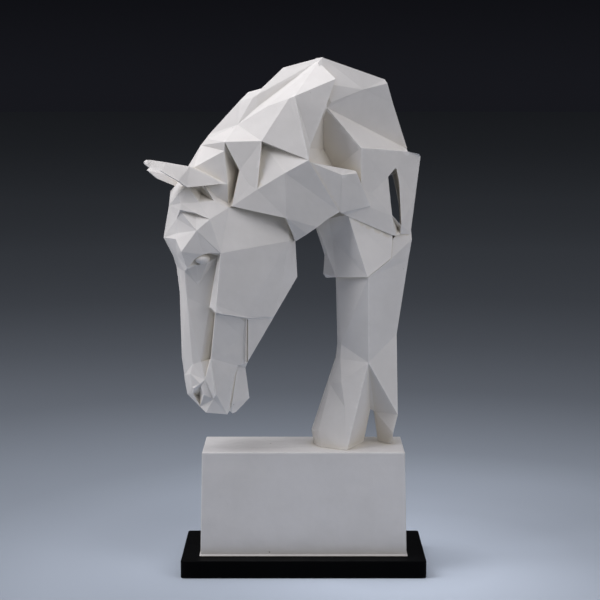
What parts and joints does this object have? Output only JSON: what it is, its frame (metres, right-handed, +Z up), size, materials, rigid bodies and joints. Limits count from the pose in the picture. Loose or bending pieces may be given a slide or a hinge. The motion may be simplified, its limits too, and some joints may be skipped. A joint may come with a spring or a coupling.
{
  "type": "origami horse head sculpture",
  "caption": "Faceted white horse with an arched neck and bowed head, like folded paper, on a tall white plinth and a flat black base plate.",
  "frame": {"origin": "centre of the base plate's underside", "axes": "+Z up; the horse looks towards -X; the side seen in the picture faces -Y"},
  "size_m": [0.2764, 0.1149, 0.5101],
  "materials": {
    "horse_white": "matt white cast resin",
    "plinth_white": "matt white cast resin",
    "plate_black": "satin black"
  },
  "bodies": {
    "root": {"horse": "horse_white", "plinth": "plinth_white", "base_plate": "plate_black"}
  },
  "joints": []
}
